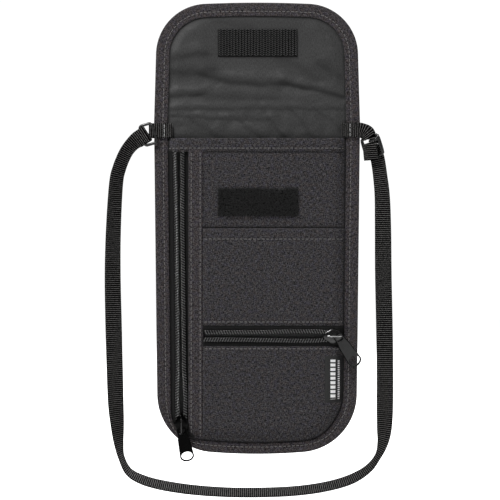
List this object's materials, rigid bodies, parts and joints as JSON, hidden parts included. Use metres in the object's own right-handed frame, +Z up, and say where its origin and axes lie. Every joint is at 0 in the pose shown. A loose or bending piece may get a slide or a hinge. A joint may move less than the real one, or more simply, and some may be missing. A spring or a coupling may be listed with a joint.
{
  "type": "neck pouch wallet",
  "caption": "Flat travel pouch with a fold-over flap, upright and cross zips, slip pocket, hook-and-loop closure and a webbing neck strap with ring and adjuster.",
  "frame": {"origin": "middle of the back panel's outer face", "axes": "+X across the pouch, +Z up towards the flap, front faces -Y, so +Y points out of the back"},
  "size_m": [0.1962, 0.0133, 0.337],
  "materials": {
    "melange_cloth": "woven charcoal melange",
    "binding_cloth": "woven charcoal melange tape",
    "lining": "smooth satin weave",
    "hook_and_loop": "black pile",
    "label": "woven satin",
    "zip_tape": "twill tape",
    "zip_coil": "nylon coil",
    "slider_metal": "gloss black enamel",
    "puller_metal": "satin black enamel",
    "hardware": "satin black",
    "webbing": "ribbed polyester webbing"
  },
  "bodies": {
    "pouch": {"back_panel": "melange_cloth", "back_lining": "lining", "body_binding": "binding_cloth", "front_panel": "melange_cloth", "top_hem_band": "melange_cloth", "zip_strip": "melange_cloth", "slip_pocket_panel": "melange_cloth", "lower_pocket_panel": "melange_cloth", "pocket_lining": "lining", "loop_patch": "hook_and_loop", "woven_label": "label", "main_zip_tape_left": "zip_tape", "main_zip_tape_right": "zip_tape", "main_zip_coil_left": "zip_coil", "main_zip_coil_right": "zip_coil", "cross_zip_tape_upper": "zip_tape", "cross_zip_tape_lower": "zip_tape", "cross_zip_coil_upper": "zip_coil", "cross_zip_coil_lower": "zip_coil", "tab_left": "webbing", "tab_right": "webbing"},
    "flap": {"flap_outer": "melange_cloth", "flap_lining": "lining", "flap_binding": "binding_cloth", "hook_patch": "hook_and_loop"},
    "main_slider": {"main_zip_slider": "slider_metal"},
    "main_puller": {"main_zip_puller": "puller_metal"},
    "cross_slider": {"cross_zip_slider": "slider_metal"},
    "cross_puller": {"cross_zip_puller": "puller_metal"},
    "strap": {"strap_ring": "hardware", "strap_adjuster": "hardware", "tab_loop_left": "webbing", "tab_loop_right": "webbing", "neck_strap": "webbing", "strap_end_left": "webbing", "strap_end_right": "webbing"}
  },
  "joints": [
    {"name": "flap_fold", "type": "hinge", "parent": "pouch", "child": "flap", "pos_m": [0, -0.0058, 0.1134], "axis": [1, 0, 0], "range_deg": [0, 179.5]},
    {"name": "main_zip_slide", "type": "slide", "parent": "pouch", "child": "main_slider", "axis": [-0.0113, 0, 0.9999], "range_m": [0, 0.178]},
    {"name": "main_puller_flip", "type": "hinge", "parent": "main_slider", "child": "main_puller", "pos_m": [-0.05119, -0.0084, -0.09564], "axis": [0.9794, 0, 0.2019], "range_deg": [-140, 0]},
    {"name": "cross_zip_slide", "type": "slide", "parent": "pouch", "child": "cross_slider", "axis": [-1, 0, 0], "range_m": [0, 0.08]},
    {"name": "cross_puller_flip", "type": "hinge", "parent": "cross_slider", "child": "cross_puller", "pos_m": [0.05459, -0.0109, -0.03238], "axis": [0.8387, 0, 0.5446], "range_deg": [-100, 0]},
    {"name": "strap_swing", "type": "hinge", "parent": "pouch", "child": "strap", "pos_m": [0, -0.005, 0.1105], "axis": [-1, 0, 0], "range_deg": [0, 179.5]}
  ]
}
